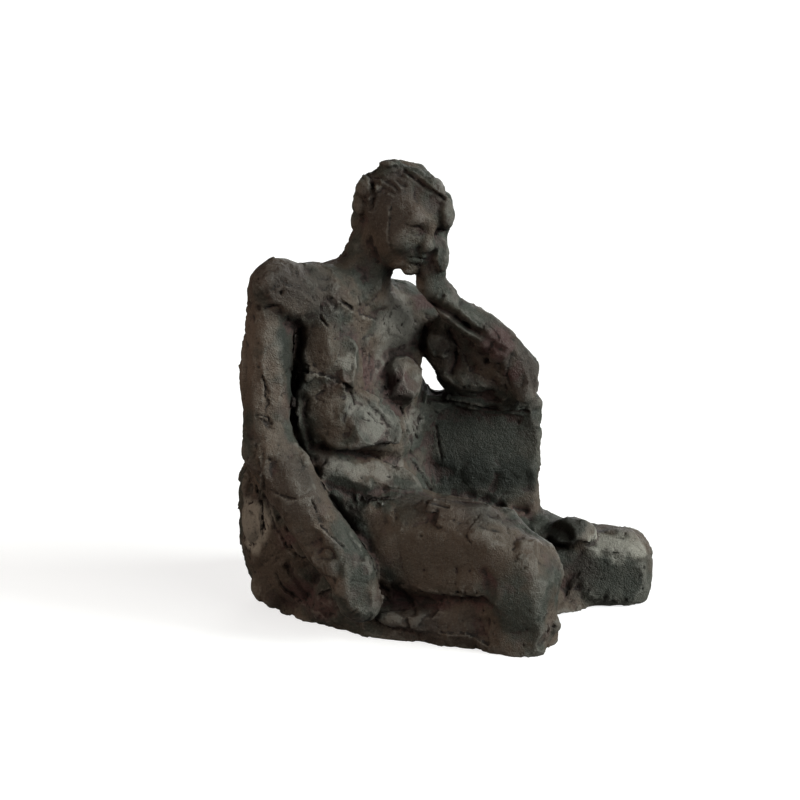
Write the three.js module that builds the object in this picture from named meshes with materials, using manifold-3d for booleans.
// A seated nude, modelled by hand in clay and fired as one solid piece.
// She sits on the ground with her right leg folded in front, leans her left elbow on a block
// and rests her head on her left hand.
// Millimetres, +Z up. +X is to the right and +Y away in the view from the front.
import * as THREE from "three";
import { MarchingCubes } from "three/addons/objects/MarchingCubes.js";
import { SimplifyModifier } from "three/addons/modifiers/SimplifyModifier.js";
import { mergeVertices } from "three/addons/utils/BufferGeometryUtils.js";
import Module from "manifold-3d";

const at = (x, y, z) => new THREE.Vector3(x, y, z);
const radians = THREE.MathUtils.degToRad;

// Driving dimensions: the way the body and the head face, in degrees
const BODY_FACING = 50; // to the right, away from the front view
const HEAD_FACING = 42;
const HEAD_NOD = 20; // forward
const HEAD_LEAN = 9; // onto the left hand
const SHOULDER_SLOPE = 15; // down to the left

// Driving dimensions: joints of the figure
const PELVIS = at(-50, 12, 34);
const WAIST = at(-45, 8, 86);
const CHEST = at(-47, 9, 132);
const NECK = at(-39, 3, 168);
const NAPE = at(-31, 1, 192);
const HEAD = at(-17.5, -5, 205);
const RIGHT_SHOULDER = at(-77, -25, 168);
const RIGHT_ELBOW = at(-84, -33, 94);
const RIGHT_WRIST = at(-56, -47, 53);
const RIGHT_FINGERS = at(-39, -53, 22);
const LEFT_SHOULDER = at(-9, 27, 143);
const LEFT_ELBOW = at(41, 9, 121);
const LEFT_WRIST = at(-5.5, -6, 170);
const LEFT_FINGERS = at(-3, -10, 193);
const RIGHT_HIP = at(-42, -14, 45);
const RIGHT_KNEE = at(33, -50, 36);
const RIGHT_ANKLE = at(-52, -28, 11);
const THIGH = at(-4, -33, 44);
const THIGH_TURN = -26; // degrees, of the right thigh out of the front view
const LEFT_HIP = at(-12, 32, 30);

// Driving dimensions: the block under the elbow
const BLOCK = at(19, 26, 52);
const BLOCK_HALF = [33, 12, 54];

// Driving dimensions: the mesh
const CELL = 2;
const CELLS = 128;
const GRID_LOW = at(-130, -120, -14);
const FAR = 50; // distance kept in cells that no clay is near
const TRIANGLES = 9000;

// Axes of a part of the body: X to its left, Y to its back, Z up
function axes(facing, nod = 0, lean = 0) {
  return new THREE.Matrix4()
    .makeRotationZ(radians(facing))
    .multiply(new THREE.Matrix4().makeRotationX(radians(nod)))
    .multiply(new THREE.Matrix4().makeRotationY(radians(lean)));
}
const ROOM = axes(0);
const BODY = axes(BODY_FACING);
const SHOULDERS = axes(BODY_FACING, 4, SHOULDER_SLOPE);
const FACE = axes(HEAD_FACING, HEAD_NOD, HEAD_LEAN);
const FORWARD = at(0, -1, 0).applyMatrix4(BODY);

// The point that lies so far forward, to the left and up of a joint
function beyond(joint, forward, left, up, frame = BODY) {
  return at(left, -forward, up).applyMatrix4(frame).add(joint);
}

// The three axes of a frame, turned about them by degrees
function basis(frame, turn) {
  const euler = new THREE.Euler(...turn.map(radians));
  const turned = frame.clone().multiply(new THREE.Matrix4().makeRotationFromEuler(euler));
  const [x, y, z] = [at(0, 0, 0), at(0, 0, 0), at(0, 0, 0)];
  turned.extractBasis(x, y, z);
  return [x, y, z];
}

// An ellipsoid with its radii to the side, to the back and up
function ball(centre, radii, frame = BODY, turn = [0, 0, 0]) {
  const [side, back, up] = basis(frame, turn);
  const [rx, ry, rz] = radii;
  const reach = Math.max(...radii);
  return {
    low: centre.clone().subScalar(reach),
    high: centre.clone().addScalar(reach),
    distance(p) {
      const d = p.clone().sub(centre);
      const [u, v, w] = [d.dot(side) / rx, d.dot(back) / ry, d.dot(up) / rz];
      const outside = Math.hypot(u, v, w);
      const slope = Math.hypot(u / rx, v / ry, w / rz);
      return slope > 0 ? (outside * (outside - 1)) / slope : -Math.min(...radii);
    },
  };
}

// A tapered limb with round ends, from one point to another
function limb(a, b, startRadius, endRadius = startRadius) {
  const axis = b.clone().sub(a);
  const reach = Math.max(startRadius, endRadius);
  return {
    low: a.clone().min(b).subScalar(reach),
    high: a.clone().max(b).addScalar(reach),
    distance(p) {
      const along = THREE.MathUtils.clamp(p.clone().sub(a).dot(axis) / axis.lengthSq(), 0, 1);
      const radius = THREE.MathUtils.lerp(startRadius, endRadius, along);
      return a.clone().addScaledVector(axis, along).distanceTo(p) - radius;
    },
  };
}

// Limbs joined end to end, through joints given with the radius there
function chain(...joints) {
  const bones = joints.slice(1).map(([end, radius], k) => limb(joints[k][0], end, joints[k][1], radius));
  return {
    low: bones.map((bone) => bone.low).reduce((a, b) => a.clone().min(b)),
    high: bones.map((bone) => bone.high).reduce((a, b) => a.clone().max(b)),
    distance: (p) => Math.min(...bones.map((bone) => bone.distance(p))),
  };
}

// A block with rounded edges, with its half sizes to the side, to the back and up
function slab(centre, half, round, frame = BODY, turn = [0, 0, 0]) {
  const [side, back, up] = basis(frame, turn);
  const reach = Math.hypot(...half);
  return {
    low: centre.clone().subScalar(reach),
    high: centre.clone().addScalar(reach),
    distance(p) {
      const d = p.clone().sub(centre);
      const over = [side, back, up].map((direction, k) => Math.abs(d.dot(direction)) - half[k] + round);
      const outside = Math.hypot(...over.map((value) => Math.max(value, 0)));
      return outside + Math.min(Math.max(...over), 0) - round;
    },
  };
}

// A shape with flats pressed into it, each given by a point on it and the way it looks
function pressed(shape, flats, soften = 3) {
  const sides = flats.map(([point, facing]) => [point, facing.clone().normalize()]);
  return {
    low: shape.low,
    high: shape.high,
    distance(p) {
      let d = shape.distance(p);
      for (const [point, facing] of sides) {
        const over = p.clone().sub(point).dot(facing);
        const h = Math.max(soften - Math.abs(d - over), 0) / soften;
        d = Math.max(d, over) + h * h * soften * 0.25;
      }
      return d;
    },
  };
}

// Clay on a grid of cells, each with its distance to the surface, negative inside
class Clay {
  constructor() {
    this.distance = new Float32Array(CELLS ** 3).fill(FAR);
  }

  // Runs over the cells around a shape
  around(shape, margin, change) {
    const cell = (value, low) => THREE.MathUtils.clamp(Math.floor((value - low) / CELL), 0, CELLS - 1);
    const axis = ["x", "y", "z"];
    const first = axis.map((k) => cell(shape.low[k] - margin, GRID_LOW[k]));
    const last = axis.map((k) => cell(shape.high[k] + margin + CELL, GRID_LOW[k]));
    const p = at(0, 0, 0);
    for (let k = first[2]; k <= last[2]; k++) {
      for (let j = first[1]; j <= last[1]; j++) {
        for (let i = first[0]; i <= last[0]; i++) {
          p.set(i, j, k).multiplyScalar(CELL).add(GRID_LOW);
          const q = (k * CELLS + j) * CELLS + i;
          this.distance[q] = change(this.distance[q], shape.distance(p));
        }
      }
    }
    return this;
  }

  // Puts a lump on, with a fillet of clay round it
  add(shape, fillet = 4) {
    return this.around(shape, fillet + 2 * CELL, (old, d) => {
      const h = Math.max(fillet - Math.abs(old - d), 0) / fillet;
      return Math.min(old, d) - h * h * fillet * 0.25;
    });
  }

  // Takes a shape out, with its edge softened
  cut(shape, soften = 2) {
    return this.around(shape, soften + 2 * CELL, (old, d) => {
      const h = Math.max(soften - Math.abs(old + d), 0) / soften;
      return Math.max(old, -d) + h * h * soften * 0.25;
    });
  }

  // The surface as one closed geometry
  surface() {
    const cubes = new MarchingCubes(CELLS, new THREE.MeshBasicMaterial(), false, false, 400000);
    cubes.isolation = 0;
    this.distance.forEach((d, q) => {
      cubes.field[q] = -d || 1e-4; // a zero would fold the surface
    });
    cubes.update();
    const used = cubes.geometry.drawRange.count * 3;
    const points = cubes.geometry.getAttribute("position").array.slice(0, used);
    const half = (CELLS * CELL) / 2;
    return new THREE.BufferGeometry()
      .setAttribute("position", new THREE.BufferAttribute(points, 3))
      .scale(half, half, half)
      .translate(GRID_LOW.x + half, GRID_LOW.y + half, GRID_LOW.z + half);
  }
}

// The low ground of clay under the seat and along the folded leg
function ground(clay) {
  clay.add(ball(at(-46, 14, 2), [44, 38, 12], ROOM), 8);
  clay.add(limb(at(-62, -16, 1), at(-30, -38, 1), 10, 8), 8);
  clay.add(limb(at(-30, -38, 1), at(14, -50, 0), 8), 8);
  clay.add(limb(at(38, -16, -6), at(62, 0, -6), 13, 15), 8);
  clay.add(slab(at(12, -6, 0), [44, 28, 5], 4, ROOM, [0, 0, -14]), 6);
}

function pelvis(clay) {
  clay.add(ball(PELVIS, [44, 34, 36]), 10);
  clay.add(ball(at(-65, 5, 38), [37, 34, 46], ROOM), 10);
  clay.add(ball(at(-82, -2, 63), [19, 18, 26], ROOM), 8);
  clay.add(ball(beyond(PELVIS, -10, 22, -4), [28, 26, 32]), 12);
}

function torso(clay) {
  clay.add(slab(CHEST, [43, 21, 39], 16, SHOULDERS), 10);
  clay.add(slab(WAIST, [41, 22, 36], 18, BODY), 14);
  clay.add(pressed(limb(at(-14, 18, 100), at(-10, 6, 62), 10, 20), [[beyond(WAIST, 24, 0, 0), FORWARD]], 8), 14);
  clay.add(ball(beyond(CHEST, -10, -22, 12), [19, 14, 27]), 10);
  clay.add(ball(beyond(CHEST, -10, 20, 0), [19, 14, 25]), 10);
}

// The spine and the cleft below it
function back(clay) {
  clay.cut(limb(beyond(CHEST, -26, -2, 34), beyond(WAIST, -27, -2, 8), 3, 3), 10);
  clay.cut(limb(beyond(PELVIS, -45, -4, 26), beyond(PELVIS, -40, -3, -30), 3, 4), 8);
}

// Two folds of the belly, with the crease of the waist between them
function belly(clay) {
  clay.add(ball(beyond(WAIST, 13, -9, 9), [32, 21, 18], BODY, [-8, 24, 0]), 6);
  clay.add(ball(beyond(WAIST, 10, -2, -16), [39, 25, 17], BODY, [8, 15, 0]), 6);
  clay.cut(limb(at(-61, -39, 96), at(-20, -14, 80), 4, 3.2), 3);
}

function chest(clay) {
  clay.add(ball(beyond(CHEST, 15, -25, -5), [12, 14, 16], BODY, [10, 0, 0]), 6);
  clay.add(ball(beyond(CHEST, 20, 14, -19), [11.5, 12, 11.5], BODY), 4);
  clay.cut(limb(at(-72, -27, 152), at(-74, -27, 104), 4, 5), 4);
}

function shoulders(clay) {
  clay.add(limb(RIGHT_SHOULDER, at(-48, -2, 167), 14, 12), 8);
  clay.add(limb(LEFT_SHOULDER, at(-32, 8, 147), 13, 11), 8);
  clay.add(limb(NECK, NAPE, 14, 12), 8);
}

function rightArm(clay) {
  clay.add(ball(RIGHT_SHOULDER, [15, 16, 17], ROOM), 6);
  const upper = [[at(-80.5, -28, 160), 12], [at(-84.5, -32, 134), 12], [at(-85, -33, 107), 11.5]];
  const lower = [[RIGHT_ELBOW, 12.5], [at(-67, -43, 69), 13.3], [RIGHT_WRIST, 12.3]];
  clay.add(chain(...upper, ...lower, [at(-44, -51, 36), 13.2], [RIGHT_FINGERS, 10]), 3);
}

function rightLeg(clay) {
  clay.add(limb(RIGHT_HIP, RIGHT_KNEE, 25, 22), 8);
  clay.add(slab(THIGH, [44, 21, 24], 14, ROOM, [0, 5, THIGH_TURN]), 6);
  clay.add(slab(at(38, -52, 20), [17, 18, 30], 13, ROOM, [0, 0, THIGH_TURN]), 8);
  clay.add(limb(at(34, -54, 8), RIGHT_ANKLE, 15, 12), 4);
  clay.cut(limb(at(-30, -44, 21), at(20, -66, 25), 3, 4), 3);
}

function leftLeg(clay) {
  clay.add(limb(LEFT_HIP, at(50, 18, 22), 26, 22), 6);
  clay.add(slab(at(72, 15, 15), [39, 20, 22], 16, ROOM, [-8, 3, -6]), 8);
  clay.add(ball(at(68, 3, 38), [13, 10, 7], ROOM), 3);
}

function armBlock(clay) {
  clay.add(slab(BLOCK, BLOCK_HALF, 6, ROOM), 4);
}

function leftArm(clay) {
  clay.add(ball(LEFT_SHOULDER, [14, 14, 15], ROOM), 6);
  clay.add(ball(at(2, 17, 134), [12, 12, 13], ROOM), 5);
  clay.add(limb(at(12, 20, 120), at(37, 20, 112), 14, 13), 6);
  clay.add(limb(at(38, 10, 114), at(8, 10, 144), 9, 8), 5);
  const lower = [[LEFT_ELBOW, 9.8], [at(24, 0, 143), 8.3], [at(5, -4, 157), 6.8], [LEFT_WRIST, 6.8]];
  clay.add(chain(...lower, [LEFT_FINGERS, 6], [at(1, -9, 204), 5]), 2);
}

function head(clay) {
  const skull = (forward, left, up) => beyond(HEAD, forward, left, up, FACE);
  clay.add(ball(skull(-2, 0, 0), [18, 20, 21.5], FACE), 4);
  clay.add(ball(skull(6, 0, -8), [13.5, 13, 19], FACE), 6);
  clay.add(ball(skull(13, 0, -22), [6.5, 6, 5], FACE), 5);
  clay.add(limb(skull(14.5, -7, 3.5), skull(14.5, 7, 3.5), 4.5), 5);
  clay.add(limb(skull(18, 0, 1), skull(21.5, 0, -8), 2.4, 3.4), 3);
  clay.add(ball(skull(16, 0, -14.5), [5.5, 4.5, 4], FACE), 3);
  for (const side of [-1, 1]) {
    clay.cut(ball(skull(22, 7 * side, -2), [4.5, 5, 3], FACE), 3);
    clay.add(ball(skull(11, 9 * side, -9), [5.5, 6, 5.5], FACE), 5);
  }
}

// Hair rolled back from the forehead, with a knob on the crown and a bun at the back
function hair(clay) {
  clay.add(ball(beyond(HEAD, -5, 0, 3, FACE), [19.5, 19.5, 19], FACE), 2);
  clay.add(ball(at(-22, -5, 224), [7, 7, 5.5], ROOM), 4);
  clay.add(chain([at(-19, -8, 222), 6], [at(-7, -13, 215), 6], [at(1.5, -12, 204), 4.5]), 3);
  clay.add(limb(at(-33, -2, 216), at(-37, 0, 207), 6.5, 6.5), 3);
}

// Hollows between the limbs: under the chin, beside the knee and behind the right hand
function hollows(clay) {
  clay.cut(limb(at(-18.5, -40, 180), at(-18.5, 10, 166.5), 5), 2);
  clay.cut(ball(at(57, -21, 41), [5, 7, 5], ROOM), 3);
  clay.cut(limb(at(-66, -40, 22), at(-52, -46, 12), 3), 3);
}

const clay = new Clay();
const parts = [
  ...[ground, pelvis, torso, back, rightLeg, leftLeg, armBlock, belly],
  ...[chest, shoulders, leftArm, rightArm, head, hair, hollows],
];
for (const shape of parts) shape(clay);
clay.cut(slab(at(0, 0, -36), [160, 160, 30], 1, ROOM), 1);

// Shared vertices merged, and the faces that this collapses dropped
function closed(geometry) {
  const merged = mergeVertices(geometry, 1e-5);
  const old = merged.index.array;
  const kept = [];
  for (let i = 0; i < old.length; i += 3) {
    const [a, b, c] = old.slice(i, i + 3);
    if (a !== b && b !== c && c !== a) kept.push(a, b, c);
  }
  return merged.setIndex(kept);
}

const wasm = await Module();
wasm.setup();

function solidOf(geometry) {
  const merged = closed(geometry);
  return new wasm.Manifold(
    new wasm.Mesh({
      numProp: 3,
      vertProperties: merged.getAttribute("position").array,
      triVerts: new Uint32Array(merged.index.array),
    }),
  );
}

function geometryOf(solid) {
  const mesh = solid.getMesh();
  return new THREE.BufferGeometry()
    .setAttribute("position", new THREE.BufferAttribute(mesh.vertProperties, 3))
    .setIndex(new THREE.BufferAttribute(mesh.triVerts, 1));
}

const rough = closed(clay.surface());
const spare = rough.getAttribute("position").count - TRIANGLES / 2;
const thinned = await new SimplifyModifier().modify(rough, spare);

// The underside is cut flat, so that the piece stands
const FLOOR_DEPTH = 40;
const floor = new THREE.BoxGeometry(400, 400, FLOOR_DEPTH).translate(0, 0, -FLOOR_DEPTH / 2);
floor.deleteAttribute("normal");
floor.deleteAttribute("uv");

const figure = new THREE.Mesh(
  geometryOf(solidOf(thinned).subtract(solidOf(floor))),
  new THREE.MeshStandardMaterial({ color: 0x3a332e, roughness: 0.72, metalness: 0.1 }),
);
figure.name = "figure";

const group = new THREE.Group();
group.add(figure);
export default group;
